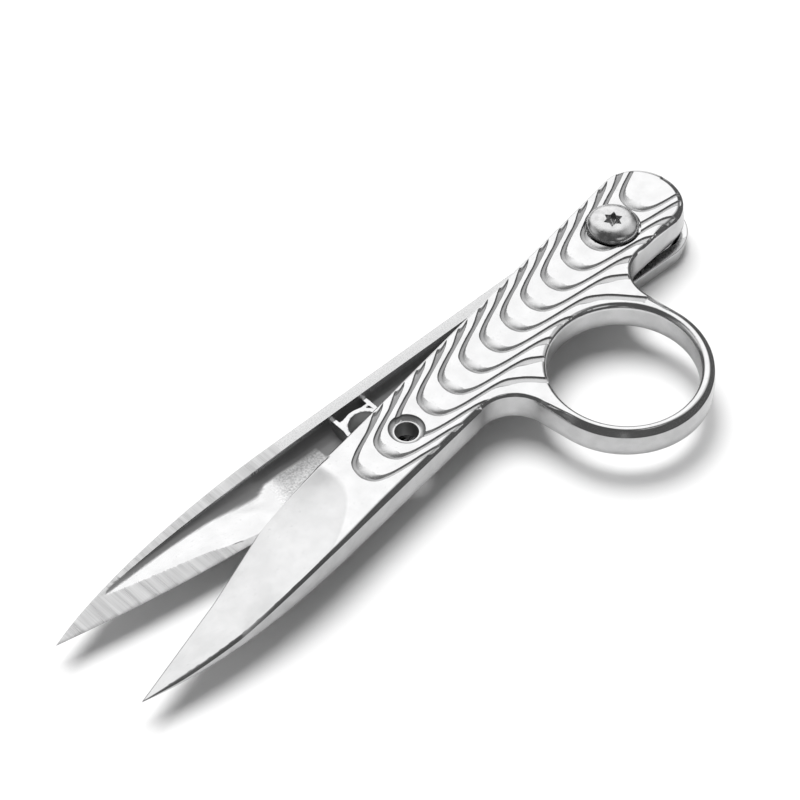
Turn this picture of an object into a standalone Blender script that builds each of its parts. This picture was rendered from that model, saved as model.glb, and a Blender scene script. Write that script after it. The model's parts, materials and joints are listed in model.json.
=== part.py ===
"""Thread snips with one finger ring, built as the real tool is: two cast steel halves that turn on one
pivot screw, with a hidden spring that opens them. Metres, +Z up. Each half is drawn from its pivot, with
+X towards the blade tips and the ring on the +Y side. The plain half lies on Z = 0 with its handle along
+X, and the ring half lies on top of it, swung open."""

import math

import bmesh
import bpy
from mathutils import Matrix, Vector
from mathutils.geometry import delaunay_2d_cdt

# Where the halves lie
PIVOT_X = -0.0451453
PIVOT_Y = -0.0123722
OPEN_ANGLE = math.radians(9.1)
GAP = 0.0003
HALF_HEIGHT = 0.00435
RING_HALF_BASE = HALF_HEIGHT + GAP

# Handle
HALF_WIDTH = 0.0063
REAR_X = -0.0070
PLATE = 0.00135
SPINE_WALL = 0.00175
EDGE_WALL = 0.0012
REAR_WALL = 0.0009
SIDE_DRAFT = 0.00015
REAR_DRAFT = 0.0009
EDGE_ROUND = 0.0006
ROUND_STEPS = 3
RIM_DROP = 0.0014

# Finger ring
RING_X = 0.020425
RING_Y = 0.0164
RING_OUTER = 0.012725
FINGER_RADIUS = 0.01075
REAR_FILLET = 0.0055
FRONT_FILLET = 0.00555

# Blades
HEEL_X = 0.0730
EDGE_THICKNESS = 0.00012
FACE_SLOPE = 0.287
RAMP_RATE = 0.0316
RAMP_FADE = 0.6
BLADE_WIDTH = 0.0115
HOLLOW_START = 0.0640
HOLLOW_END = 0.0925
HOLLOW_SECTIONS = 9

# Pivot
HEAD_RADIUS = 0.0038
HEAD_HEIGHT = 0.0015
HEAD_RIM = 0.0003
DOME_FLAT = 0.0016
DOME_STEPS = 8
SPOT_RADIUS = 0.0041
SPOT_DEPTH = 0.0004
SHANK_RADIUS = 0.0020
BORE_RADIUS = SHANK_RADIUS + GAP
BOSS_RADIUS = 0.0032
BOSS_GAP = 0.00045
SOCKET_RADIUS = 0.00145
SOCKET_DEPTH = 0.0010
SOCKET_WAIST = 0.62
NUT_RADIUS = 0.0040
NUT_HEIGHT = 0.0018
NUT_RECESS = 0.0003
NUT_BOSS_RADIUS = 0.0050
NUT_BOSS_TOP = 0.0030

# Return spring
WIRE_RADIUS = 0.00035
COIL_RADIUS = 0.00385
COIL_LOW = 0.00365
COIL_HIGH = 0.00645
COIL_TURNS = 3
LEG_LENGTH = 0.0115

# Stop pin and its lug
PIN_X = 0.0144
PIN_Y = -0.00154
PIN_RADIUS = 0.0010
PIN_TOP = 0.0068
PIN_CHAMFER = 0.0002

# Hang hole, which lines up in both halves when the snips are shut
HANG_X = 0.04785
HANG_Y = -0.0004
HANG_RADIUS = 0.00168
HANG_COUNTERSINK = 0.0026
HANG_BORE = 0.0025
HANG_BOSS = 0.0031
RIB_HALF = 0.0003
RIB_X = (0.0447, 0.0505)
RIB_DROP = 0.0009

SHARP_ANGLE = math.radians(35)
STEEL = ("cast_steel", (0.72, 0.72, 0.73, 1.0), 0.16)
GROUND_STEEL = ("ground_steel", (0.66, 0.66, 0.67, 1.0), 0.28)
SCREW_STEEL = ("screw_steel", (0.60, 0.60, 0.61, 1.0), 0.22)
SPRING_STEEL = ("spring_steel", (0.45, 0.45, 0.47, 1.0), 0.30)


def clear_scene():
    for item in list(bpy.data.objects):
        bpy.data.objects.remove(item, do_unlink=True)


def steel(name, colour, roughness):
    """One Principled metal, made once and shared."""
    found = bpy.data.materials.get(name)
    if found:
        return found
    material = bpy.data.materials.new(name)
    material.use_nodes = True
    shader = material.node_tree.nodes["Principled BSDF"]
    shader.inputs["Base Color"].default_value = colour
    shader.inputs["Metallic"].default_value = 1.0
    shader.inputs["Roughness"].default_value = roughness
    return material


def place(name, mesh, parent=None, material=None):
    """An object of this mesh under its half's empty. One without a material is a hidden cutter or tool."""
    item = bpy.data.objects.new(name, mesh)
    bpy.context.scene.collection.objects.link(item)
    item.parent = parent
    if material:
        mesh.materials.append(steel(*material))
    else:
        item.hide_render = True
        item.display_type = "WIRE"
    return item


def arc(centre, radius, start, stop, steps):
    """Points on an arc between two angles in degrees, both ends included."""
    angles = [math.radians(start + (stop - start) * i / steps) for i in range(steps + 1)]
    return [Vector((centre[0] + radius * math.cos(a), centre[1] + radius * math.sin(a))) for a in angles]


def bezier(points, steps):
    """Points on a Bezier curve of any degree."""
    degree = len(points) - 1
    curve = []
    for i in range(steps + 1):
        t = i / steps
        shares = [math.comb(degree, k) * t**k * (1 - t) ** (degree - k) for k in range(degree + 1)]
        curve.append(sum((Vector(p) * s for p, s in zip(points, shares)), Vector((0, 0))))
    return curve


def straight(start, stop, steps):
    return [Vector(start).lerp(Vector(stop), i / steps) for i in range(steps + 1)]


def joined(*runs):
    """One closed outline from runs of points, with doubled points left out."""
    outline = []
    for point in (p for run in runs for p in run):
        if not outline or (point - outline[-1]).length > 1e-6:
            outline.append(point)
    if (outline[0] - outline[-1]).length < 1e-6:
        outline.pop()
    return outline


def ring_outline():
    """The ring half's outline: cutting edge on -Y, spine and finger ring on +Y."""
    left, right = RING_X - RING_OUTER, RING_X + RING_OUTER
    rear_y, front_y = 0.0060 + REAR_FILLET, 0.00565 + FRONT_FILLET
    return joined(
        straight((REAR_X, -HALF_WIDTH), (0.0560, -HALF_WIDTH), 6),
        straight((0.0560, -HALF_WIDTH), (HEEL_X, -0.0062), 6),
        straight((HEEL_X, -0.0062), (0.1024, -0.00175), 8),
        bezier([(0.1024, -0.00175), (0.0930, 0.0023), (0.0820, 0.0046), (0.0660, 0.00495)], 14),
        straight((0.0660, 0.00495), (0.0560, 0.00520), 3),
        straight((0.0560, 0.00520), (right + FRONT_FILLET, 0.00565), 3),
        arc((right + FRONT_FILLET, front_y), FRONT_FILLET, 270, 180, 8),
        arc((RING_X, RING_Y), RING_OUTER, 0, 180, 40),
        arc((left - REAR_FILLET, rear_y), REAR_FILLET, 0, -90, 8),
        arc((REAR_X, 0), HALF_WIDTH, 90, 270, 24),
    )


def plain_outline():
    """The plain half's outline: spine on -Y, cutting edge on +Y."""
    return joined(
        straight((REAR_X, -HALF_WIDTH), (0.0560, -HALF_WIDTH), 6),
        straight((0.0560, -HALF_WIDTH), (0.0620, -HALF_WIDTH), 2),
        bezier([(0.0620, -HALF_WIDTH), (0.0780, -0.0062), (0.0940, -0.0039), (0.1035, -0.00035)], 14),
        bezier([(0.1035, -0.00035), (0.0885, 0.00305), (0.0715, 0.0050)], 10),
        straight((0.0715, 0.0050), (0.0560, 0.0052), 5),
        straight((0.0560, 0.0052), (0.0040, 0.0060), 5),
        arc((REAR_X, 0), HALF_WIDTH, 90, 270, 24),
    )


def normals_of(outline):
    """Outward normals of a counterclockwise outline."""
    found = []
    for i, point in enumerate(outline):
        along = outline[(i + 1) % len(outline)] - outline[i - 1]
        found.append(Vector((along.y, -along.x)).normalized())
    return found


def inset(outline, height):
    """The outline drawn in by the casting draft and the rounded edge at this height. Both end at the blade."""
    rounding = 0.0
    over = height - (HALF_HEIGHT - EDGE_ROUND)
    if over > 0:
        rounding = EDGE_ROUND - math.sqrt(max(0.0, EDGE_ROUND**2 - over**2))
    moved = []
    for point, normal in zip(outline, normals_of(outline)):
        share = min(1.0, max(0.0, (0.0700 - point.x) / 0.0100))
        draft = SIDE_DRAFT + REAR_DRAFT * max(0.0, -normal.x) ** 2 * (point.x < 0)
        moved.append(point - normal * share * (draft * height / HALF_HEIGHT + rounding))
    return moved


def stacked(name, sections):
    """A closed mesh through outlines of equal length, each with its height."""
    shape = bmesh.new()
    loops = [[shape.verts.new((p.x, p.y, height)) for p in outline] for outline, height in sections]
    count = len(loops[0])
    for low, high in zip(loops, loops[1:]):
        for i in range(count):
            k = (i + 1) % count
            shape.faces.new((low[i], low[k], high[k], high[i]))
    for loop in (loops[0], loops[-1]):
        for triangle in cap_triangles([vert.co.xy for vert in loop]):
            shape.faces.new([loop[i] for i in triangle])
    return finished(name, shape)


def cap_triangles(outline):
    """Triangles that fill an outline, as indices of its points."""
    found = delaunay_2d_cdt(outline, [], [list(range(len(outline)))], 1, 1e-8)
    origin = [sources[0] for sources in found[3]]
    return [[origin[i] for i in face] for face in found[2]]


def finished(name, shape):
    bmesh.ops.recalc_face_normals(shape, faces=shape.faces)
    mesh = bpy.data.meshes.new(name)
    shape.to_mesh(mesh)
    shape.free()
    mesh.shade_smooth()
    mesh.set_sharp_from_angle(angle=SHARP_ANGLE)
    return mesh


def turned(mesh, matrix):
    """The mesh moved by a matrix, with its faces still pointing out."""
    mesh.transform(matrix)
    if matrix.determinant() < 0:
        mesh.flip_normals()
    return mesh


def column(name, outline, low, high):
    return stacked(name, [(outline, low), (outline, high)])


def circle(centre, radius, sides=40):
    return arc(centre, radius, 0, 360 * (sides - 1) / sides, sides - 1)


def box_outline(x0, x1, y0, y1):
    return [Vector(p) for p in ((x0, y0), (x1, y0), (x1, y1), (x0, y1))]


def change(item, tool, operation, name):
    """One Boolean on this object."""
    modifier = item.modifiers.new(name, "BOOLEAN")
    modifier.object = tool
    modifier.operation = operation
    modifier.solver = "EXACT"


def blade_height(x, y, side):
    """Height of the ground blade face over the shear plane. It rises from the cutting edge to the spine."""
    if side > 0:
        edge_y = -0.0062 + (x - HEEL_X) * 0.00445 / 0.0294
        across = y - edge_y
    else:
        edge_y = 0.0050 - (x - 0.0715) * 0.00535 / 0.0320
        across = edge_y - y
    across = max(0.0, across) * 0.988
    ramp = RAMP_RATE * math.sqrt(max(0.0, HEEL_X - x)) * (1 - RAMP_FADE * across / BLADE_WIDTH)
    return EDGE_THICKNESS + FACE_SLOPE * across + ramp


def blade_cutter(name, side):
    """All that the grinding wheel takes off above the blade face."""
    rows = [0.0540, 0.0575, 0.0610, 0.0640, 0.0665, 0.0685, 0.0700, 0.0712, 0.0721, 0.0727, HEEL_X]
    rows += [0.0760, 0.0830, 0.0900, 0.0970, 0.1060]
    columns = [-0.0090 + 0.0018 * i for i in range(11)]
    shape = bmesh.new()
    face = [[shape.verts.new((x, y, blade_height(x, y, side))) for y in columns] for x in rows]
    roof = [[shape.verts.new((x, y, 0.0090)) for y in columns] for x in rows]
    for grid in (face, roof):
        for a, b in zip(grid, grid[1:]):
            for i in range(len(columns) - 1):
                shape.faces.new((a[i], a[i + 1], b[i + 1], b[i]))
    rim = border(face), border(roof)
    count = len(rim[0])
    for i in range(count):
        k = (i + 1) % count
        shape.faces.new((rim[0][i], rim[0][k], rim[1][k], rim[1][i]))
    return finished(name, shape)


def border(grid):
    """The outer points of a grid, in order round it."""
    right = [row[-1] for row in grid]
    left = [row[0] for row in grid]
    return grid[0] + right[1:] + grid[-1][-2::-1] + left[-2:0:-1]


def handle_pocket(side):
    """The hollow inside a handle: a thick wall on the spine side, a thinner one on the other."""
    low, high = -HALF_WIDTH + EDGE_WALL, HALF_WIDTH - SPINE_WALL
    front_high = 0.0051 - SPINE_WALL
    if side < 0:
        low, high = -HALF_WIDTH + SPINE_WALL, HALF_WIDTH - EDGE_WALL
        front_high = 0.0053 - EDGE_WALL
    middle, radius = (low + high) / 2, (high - low) / 2
    rear = REAR_X - HALF_WIDTH + REAR_WALL + radius
    return joined(
        straight((rear, low), (HOLLOW_START, low), 1),
        straight((HOLLOW_START, front_high), (0.0040, high), 1),
        arc((rear, middle), radius, 90, 270, 20),
    )


def hollow_cutter(name, side):
    """The tapering hollow of a blade's inner face, from the handle pocket to near the tip."""
    shape = bmesh.new()
    loops = []
    for i in range(HOLLOW_SECTIONS + 1):
        t = i / HOLLOW_SECTIONS
        x = HOLLOW_START - 0.0006 + (HOLLOW_END - HOLLOW_START + 0.0006) * t
        spine_y = side * (0.0032 + 0.0002 * t - 0.0028 * t**2)
        edge_y = side * (-0.0046 + 0.0020 * t + 0.0027 * t**2)
        if side < 0:
            spine_y = -0.00455 + 0.0022 * t**2
            edge_y = 0.0041 - 0.0034 * t - 0.0026 * t**2
        deep = (HALF_HEIGHT - PLATE) * (1 - t) ** 1.2 * 0.55 + 0.00012
        middle = spine_y + (edge_y - spine_y) * 0.35
        profile = [(spine_y, -GAP), (edge_y, -GAP), (edge_y, 0.00008), (middle, deep), (spine_y, deep * 0.8)]
        loops.append([shape.verts.new((x, y, z)) for y, z in profile])
    for near, far in zip(loops, loops[1:]):
        for i in range(5):
            k = (i + 1) % 5
            shape.faces.new((near[i], near[k], far[k], far[i]))
    shape.faces.new(loops[0])
    shape.faces.new(loops[-1])
    return finished(name, shape)


def half_levels():
    """Heights of the outline's sections over the shear plane."""
    angles = [math.pi / 2 * i / ROUND_STEPS for i in range(ROUND_STEPS + 1)]
    return [0.0] + [HALF_HEIGHT - EDGE_ROUND + EDGE_ROUND * math.sin(a) for a in angles]


def cast_half(name, outline, side, parent, cuts, additions):
    """A half with its shear plane at local Z = 0. side is 1 for the ring half, which grows up from that
    plane, and -1 for the plain half, which grows down from it."""
    matrix = Matrix.Diagonal((1, 1, side, 1))
    body = stacked(name, [(inset(outline, height), height) for height in half_levels()])
    half = place(name, turned(body, matrix), parent, STEEL)
    pocket = column(name + "_pocket_cut", handle_pocket(side), -GAP, HALF_HEIGHT - PLATE)
    steps = [(pocket, "DIFFERENCE"), (hollow_cutter(name + "_hollow_cut", side), "DIFFERENCE")]
    steps += [(mesh, "UNION") for mesh in additions]
    steps += [(blade_cutter(name + "_face_cut", side), "DIFFERENCE")]
    steps += [(mesh, "DIFFERENCE") for mesh in cuts]
    for mesh, operation in steps:
        tool = place(mesh.name, turned(mesh, matrix), parent)
        change(half, tool, operation, mesh.name)
    return half


def boss(name, centre, radius, top):
    """A round boss that stands from inside the plate towards the shear plane."""
    return column(name, circle(centre, radius, 32), top, HALF_HEIGHT - PLATE / 2)


def cross_ribs(prefix, low, high, top):
    """The two ribs across the handle that carry the hang hole's boss."""
    floor = HALF_HEIGHT - PLATE / 2
    return [
        column(prefix + "_rib_" + str(i), box_outline(x - RIB_HALF, x + RIB_HALF, low, high), top, floor)
        for i, x in enumerate(RIB_X)
    ]


def ring_half(parent):
    """The upper half: finger ring, pivot boss, stop lug and countersunk hang hole."""
    roof = HALF_HEIGHT - PLATE / 2
    hang = (HANG_X, HANG_Y)
    additions = [
        boss("ring_pivot_boss", (0, 0), BOSS_RADIUS, BOSS_GAP),
        boss("ring_hang_boss", hang, HANG_BOSS, RIB_DROP),
        column("ring_stop_lug", box_outline(0.0134, 0.0156, PIN_Y + PIN_RADIUS + GAP, 0.0030), 0.0006, roof),
    ]
    additions += cross_ribs("ring", -0.0056, 0.0048, RIB_DROP)
    spread = HANG_COUNTERSINK - HANG_RADIUS
    over = HALF_HEIGHT + GAP
    cuts = [
        column("finger_hole_cut", circle((RING_X, RING_Y), FINGER_RADIUS, 64), -GAP, over),
        column("ring_bore_cut", circle((0, 0), BORE_RADIUS), -GAP, over),
        column("spot_face_cut", circle((0, 0), SPOT_RADIUS), HALF_HEIGHT - SPOT_DEPTH, over),
        column("ring_hang_cut", circle(hang, HANG_RADIUS, 32), -GAP, over),
        stacked(
            "countersink_cut",
            [
                (circle(hang, HANG_RADIUS, 32), HALF_HEIGHT - spread),
                (circle(hang, HANG_COUNTERSINK + GAP, 32), HALF_HEIGHT + GAP),
            ],
        ),
    ]
    return cast_half("ring_half", ring_outline(), 1, parent, cuts, additions)


def plain_half(parent):
    """The lower half: open channel with the ribbed hang boss, the stop pin's boss and the nut's pocket."""
    hang = (HANG_X, HANG_Y)
    floor = HALF_HEIGHT - PLATE / 2
    additions = [
        boss("plain_pivot_boss", (0, 0), BOSS_RADIUS, BOSS_GAP),
        boss("nut_boss", (0, 0), NUT_BOSS_RADIUS, HALF_HEIGHT - NUT_BOSS_TOP),
        boss("plain_hang_boss", hang, HANG_BOSS, RIB_DROP),
        column("plain_web", box_outline(RIB_X[0], RIB_X[1], -0.0034, -0.0029), RIB_DROP, floor),
    ]
    additions += cross_ribs("plain", -0.0050, 0.0048, RIB_DROP)
    over = HALF_HEIGHT + GAP
    nut_pocket = circle((0, 0), NUT_RADIUS + GAP, 6)
    rim = box_outline(-0.0200, 0.0600, 0.0030, 0.0080)
    rear_rim = box_outline(-0.0200, -0.0095, -0.0035, 0.0080)
    cuts = [
        column("rim_cut", rim, -GAP, RIM_DROP),
        column("rear_rim_cut", rear_rim, -GAP, RIM_DROP),
        column("plain_bore_cut", circle((0, 0), BORE_RADIUS), -GAP, over),
        column("plain_hang_cut", circle(hang, HANG_BORE, 32), -GAP, over),
        column("nut_pocket_cut", nut_pocket, HALF_HEIGHT - NUT_RECESS - NUT_HEIGHT - GAP, over),
    ]
    return cast_half("plain_half", plain_outline(), -1, parent, cuts, additions)


def lathe(name, profile, sides=40):
    """A solid of revolution about Z from (radius, height) points, closed on the axis."""
    sections = [(circle((0, 0), radius, sides), height) for radius, height in profile]
    return stacked(name, sections)


def pivot_screw(parent):
    """Button head over the ring half, plain shank through both halves, end inside the nut."""
    seat = RING_HALF_BASE + HALF_HEIGHT - SPOT_DEPTH + GAP
    dome = []
    for i in range(DOME_STEPS + 1):
        angle = math.pi / 2 * i / DOME_STEPS
        radius = DOME_FLAT + (HEAD_RADIUS - DOME_FLAT) * math.cos(angle)
        dome.append((radius, seat + HEAD_RIM + (HEAD_HEIGHT - HEAD_RIM) * math.sin(angle)))
    profile = [(SHANK_RADIUS, NUT_RECESS + GAP), (SHANK_RADIUS, seat), (HEAD_RADIUS, seat)]
    screw = place("pivot_screw", lathe("pivot_screw", profile + dome), parent, SCREW_STEEL)
    top = dome[-1][1]
    star = []
    for i in range(12):
        radius = SOCKET_RADIUS * (1 if i % 2 == 0 else SOCKET_WAIST)
        star.append(Vector((radius * math.cos(i * math.pi / 6), radius * math.sin(i * math.pi / 6))))
    tool = place("socket_cut", column("socket_cut", star, top - SOCKET_DEPTH, top + GAP), parent)
    change(screw, tool, "DIFFERENCE", "socket")
    return screw


def lock_nut(parent):
    """Thin hexagon nut in the pocket of the plain half's underside."""
    nut = column("lock_nut", circle((0, 0), NUT_RADIUS, 6), NUT_RECESS, NUT_RECESS + NUT_HEIGHT)
    item = place("lock_nut", nut, parent, SCREW_STEEL)
    bore = column("nut_bore_cut", circle((0, 0), BORE_RADIUS), 0, NUT_HEIGHT + 2 * NUT_RECESS)
    change(item, place("nut_bore_cut", bore, parent), "DIFFERENCE", "bore")
    return item


def thrust_washer(parent):
    """Thin washer that keeps the two pivot bosses apart."""
    low = HALF_HEIGHT - BOSS_GAP + GAP
    high = RING_HALF_BASE + BOSS_GAP - GAP
    ring = column("thrust_washer", circle((0, 0), BOSS_RADIUS), low, high)
    item = place("thrust_washer", ring, parent, GROUND_STEEL)
    bore = column("washer_bore_cut", circle((0, 0), BORE_RADIUS), low - GAP, high + GAP)
    change(item, place("washer_bore_cut", bore, parent), "DIFFERENCE", "bore")
    return item


def stop_pin(parent):
    """Dowel in the plain half that the ring half's wall and lug run against."""
    low = PLATE + GAP
    profile = [(PIN_RADIUS, low), (PIN_RADIUS, PIN_TOP - PIN_CHAMFER), (PIN_RADIUS - PIN_CHAMFER, PIN_TOP)]
    item = place("stop_pin", lathe("stop_pin", profile, 24), parent, GROUND_STEEL)
    item.location = (PIN_X, PIN_Y, 0)
    return item


def spring_path():
    """Centre line of the torsion spring: a leg on the plain half's spine wall, a coil round the two
    bosses, and a leg on the ring half's spine wall."""
    wound = 2 * math.pi * COIL_TURNS + math.pi - OPEN_ANGLE
    steps = 24 * COIL_TURNS + 12
    points = [Vector((LEG_LENGTH, -COIL_RADIUS, COIL_LOW)), Vector((LEG_LENGTH / 2, -COIL_RADIUS, COIL_LOW))]
    for i in range(steps + 1):
        angle = -math.pi / 2 - wound * i / steps
        height = COIL_LOW + (COIL_HIGH - COIL_LOW) * i / steps
        points.append(Vector((COIL_RADIUS * math.cos(angle), COIL_RADIUS * math.sin(angle), height)))
    along = Vector((math.cos(OPEN_ANGLE), math.sin(OPEN_ANGLE), 0))
    return points + [points[-1] + along * LEG_LENGTH / 2, points[-1] + along * LEG_LENGTH]


def return_spring(parent):
    """Torsion spring that swings the ring half open."""
    curve = bpy.data.curves.new("return_spring", "CURVE")
    curve.dimensions = "3D"
    curve.bevel_depth = WIRE_RADIUS
    curve.bevel_resolution = 1
    curve.use_fill_caps = True
    path = spring_path()
    spline = curve.splines.new("POLY")
    spline.points.add(len(path) - 1)
    for point, place_at in zip(spline.points, path):
        point.co = (*place_at, 1.0)
    return place("return_spring", curve, parent, SPRING_STEEL)


def empty(name, location, angle):
    item = bpy.data.objects.new(name, None)
    bpy.context.scene.collection.objects.link(item)
    item.location = location
    item.rotation_euler = (0, 0, angle)
    return item


def main():
    clear_scene()
    base = empty("pivot_base", (PIVOT_X, PIVOT_Y, 0), 0)
    lower = empty("plain_half_frame", (PIVOT_X, PIVOT_Y, HALF_HEIGHT), 0)
    upper = empty("ring_half_frame", (PIVOT_X, PIVOT_Y, RING_HALF_BASE), OPEN_ANGLE)
    plain_half(lower)
    ring_half(upper)
    pivot_screw(base)
    lock_nut(base)
    thrust_washer(base)
    stop_pin(base)
    return_spring(base)


main()
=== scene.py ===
"""Looks of the thread snips: both cast halves with their relief and ground blades, the pivot's small parts,
the floor, the studio light and the camera. Shapes are worked out in millimetres in each half's own frame:
+X from the pivot to the blade tips, +Y on the ring's side, and height from the shear plane outwards."""

import json
import math

import bmesh
import bpy
import numpy as np
from mathutils import Matrix, Vector, kdtree
from mathutils.geometry import delaunay_2d_cdt

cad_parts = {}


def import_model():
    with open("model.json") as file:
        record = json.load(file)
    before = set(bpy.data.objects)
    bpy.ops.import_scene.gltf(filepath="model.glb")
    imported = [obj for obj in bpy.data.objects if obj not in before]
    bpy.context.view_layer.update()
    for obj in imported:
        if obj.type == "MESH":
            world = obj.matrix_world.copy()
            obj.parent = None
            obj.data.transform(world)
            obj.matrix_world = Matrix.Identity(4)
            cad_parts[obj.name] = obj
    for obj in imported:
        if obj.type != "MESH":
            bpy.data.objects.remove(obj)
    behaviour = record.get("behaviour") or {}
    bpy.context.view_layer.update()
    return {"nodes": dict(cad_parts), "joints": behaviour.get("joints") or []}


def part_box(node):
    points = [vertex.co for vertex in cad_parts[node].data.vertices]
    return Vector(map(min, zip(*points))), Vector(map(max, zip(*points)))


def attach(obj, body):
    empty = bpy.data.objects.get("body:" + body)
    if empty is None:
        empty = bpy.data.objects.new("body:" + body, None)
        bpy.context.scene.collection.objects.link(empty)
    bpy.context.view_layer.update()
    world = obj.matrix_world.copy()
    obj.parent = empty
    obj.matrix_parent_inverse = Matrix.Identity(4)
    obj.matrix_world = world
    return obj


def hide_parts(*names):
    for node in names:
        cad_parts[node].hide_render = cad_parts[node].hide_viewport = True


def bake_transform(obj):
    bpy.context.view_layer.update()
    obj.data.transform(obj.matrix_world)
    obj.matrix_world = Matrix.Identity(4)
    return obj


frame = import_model()

# Places from the frame
MM = 0.001
HINGE = frame["joints"][0]
PIVOT = Vector((HINGE["pos_m"][0], HINGE["pos_m"][1], 0.0))
OPEN_ANGLE = math.radians(HINGE["range_deg"][1])
SHEAR_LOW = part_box("plain_half")[1].z
SHEAR_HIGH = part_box("ring_half")[0].z
TOP_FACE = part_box("ring_half")[1].z
HEIGHT = (TOP_FACE - SHEAR_HIGH) / MM

# Outlines, in millimetres
STATION = 0.30
HALF_WIDTH = 6.3
REAR_X = -7.0
REAR_LIFT = 0.12
SIDE_REAR_Y = 6.0
SIDE_FRONT_Y = 5.2
HANDLE_FRONT = 56.0
RING_CENTRE = (20.25, 16.38)
RING_OUTER = 12.725
FINGER_RADIUS = 10.75
REAR_FILLET = 5.5
FRONT_FILLET = 5.55
FRONT_FILLET_Y = 5.65
RING_HEEL = (73.0, -6.2)
RING_TIP = (102.4, -1.75)
RING_SPINE = ((93.0, 2.3), (82.0, 4.6))
RING_BELLY = (66.0, 4.95)
PLAIN_FRONT = 62.0
PLAIN_SPINE = ((78.0, -6.2), (94.0, -3.9))
PLAIN_TIP = (103.5, -0.35)
PLAIN_MIDDLE = (88.5, 3.05)
PLAIN_HEEL = (71.5, 5.0)
HANG = (47.85, -0.4)
SIDE_DRAFT = 0.15
REAR_DRAFT = 0.9
BEVEL_WIDTH = 0.58
BEVEL_SLOPE = 1.3
REAR_EASE = 0.8
BEVEL_BLEND = 0.08
SPINE_BEVEL = 0.42
BASE_ROUND = 0.12

# Blade faces
EDGE_THICKNESS = 0.12
FACE_SLOPE = 0.287
SHOULDER_X = 60.0
SHOULDER_BLEND = 0.06
RAMP_LENGTH = 25.0
RAMP_POWER = 1.15
PLAIN_RAMP_LENGTH = 16.0
PLAIN_RAMP_POWER = 2.0
SHOULDER_CURVE = 0.012
SHOULDER_START = 5.0
RING_EDGE_COSINE = 0.988
PLAIN_EDGE_COSINE = 0.985
PLAIN_EDGE_FALL = 3.9
PLAIN_EDGE_CURVE = 1.45

# Relief of curved grooves
GROOVE_PITCH = 4.81
GROOVE_FIRST = 5.5 - 2 * GROOVE_PITCH
GROOVES = 14
GROOVE_DEPTH = 0.28
ARM_WIDTH = 0.60
NOSE_WIDTH = 1.25
NOSE_SPREAD = 1.9
SCOOP_WIDTH = 0.50
SCOOP_RANGE = (-4.3, -5.7)
NECK_WIDTH = 0.50
NECK_RANGE = (4.6, 6.3)
WALL_WIDTH = 0.10
LINE_MARGIN = 0.03
SCOOP_LOW = -6.3
SCOOP_END = -5.86
SCOOP_FADE = 0.30
# How far past a groove's scoop its painted shade fades out.
SCOOP_SHADE_FADE = 0.12
NECK_GROOVES = 2.3
NECK_FRONT = 6.3
NECK_END = 11.9


# ---- plane curves


def arc(centre, radius, start, stop, spacing=STATION):
    steps = max(2, math.ceil(abs(math.radians(stop - start)) * radius / spacing))
    angle = np.radians(np.linspace(start, stop, steps + 1))
    return np.stack([centre[0] + radius * np.cos(angle), centre[1] + radius * np.sin(angle)], 1)


def bezier(*points, spacing=STATION):
    points = np.array(points, float)
    reach = np.linalg.norm(np.diff(points, axis=0), axis=1).sum()
    t = np.linspace(0, 1, max(2, math.ceil(reach / spacing)) + 1)[:, None]
    degree = len(points) - 1
    return sum(math.comb(degree, k) * t**k * (1 - t) ** (degree - k) * p for k, p in enumerate(points))


def closed_loop(*runs):
    """One closed outline from runs of points, with doubled points left out."""
    points = np.concatenate(runs)
    ahead = np.linalg.norm(points - np.roll(points, -1, axis=0), axis=1)
    return points[ahead > 1e-4]


def circle(centre, radius, spacing=STATION):
    return closed_loop(arc(centre, radius, 0, 360, spacing))


def ring_outline():
    rear = RING_CENTRE[0] - RING_OUTER - REAR_FILLET
    front = RING_CENTRE[0] + RING_OUTER + FRONT_FILLET
    return closed_loop(
        bezier((REAR_X, -HALF_WIDTH), (HANDLE_FRONT, -HALF_WIDTH)),
        bezier((HANDLE_FRONT, -HALF_WIDTH), RING_HEEL),
        bezier(RING_HEEL, RING_TIP),
        bezier(RING_TIP, *RING_SPINE, RING_BELLY),
        bezier(RING_BELLY, (HANDLE_FRONT, SIDE_FRONT_Y)),
        bezier((HANDLE_FRONT, SIDE_FRONT_Y), (front, FRONT_FILLET_Y)),
        arc((front, FRONT_FILLET_Y + FRONT_FILLET), FRONT_FILLET, 270, 180),
        arc(RING_CENTRE, RING_OUTER, 0, 180),
        arc((rear, SIDE_REAR_Y + REAR_FILLET), REAR_FILLET, 0, -90),
        arc((REAR_X, REAR_LIFT), HALF_WIDTH + REAR_LIFT, 90, 270),
    )


def plain_outline():
    return closed_loop(
        bezier((REAR_X, -HALF_WIDTH), (PLAIN_FRONT, -HALF_WIDTH)),
        bezier((PLAIN_FRONT, -HALF_WIDTH), *PLAIN_SPINE, PLAIN_TIP),
        bezier(PLAIN_TIP, PLAIN_MIDDLE, PLAIN_HEEL),
        bezier(PLAIN_HEEL, (HANDLE_FRONT, SIDE_FRONT_Y)),
        bezier((HANDLE_FRONT, SIDE_FRONT_Y), (4.0, SIDE_REAR_Y)),
        arc((REAR_X, 0), HALF_WIDTH, 90, 270),
    )


def normals_of(loop):
    """Outward normals of a counterclockwise loop."""
    along = np.roll(loop, -1, axis=0) - np.roll(loop, 1, axis=0)
    normal = np.stack([along[:, 1], -along[:, 0]], 1)
    return normal / np.linalg.norm(normal, axis=1)[:, None]


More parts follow.
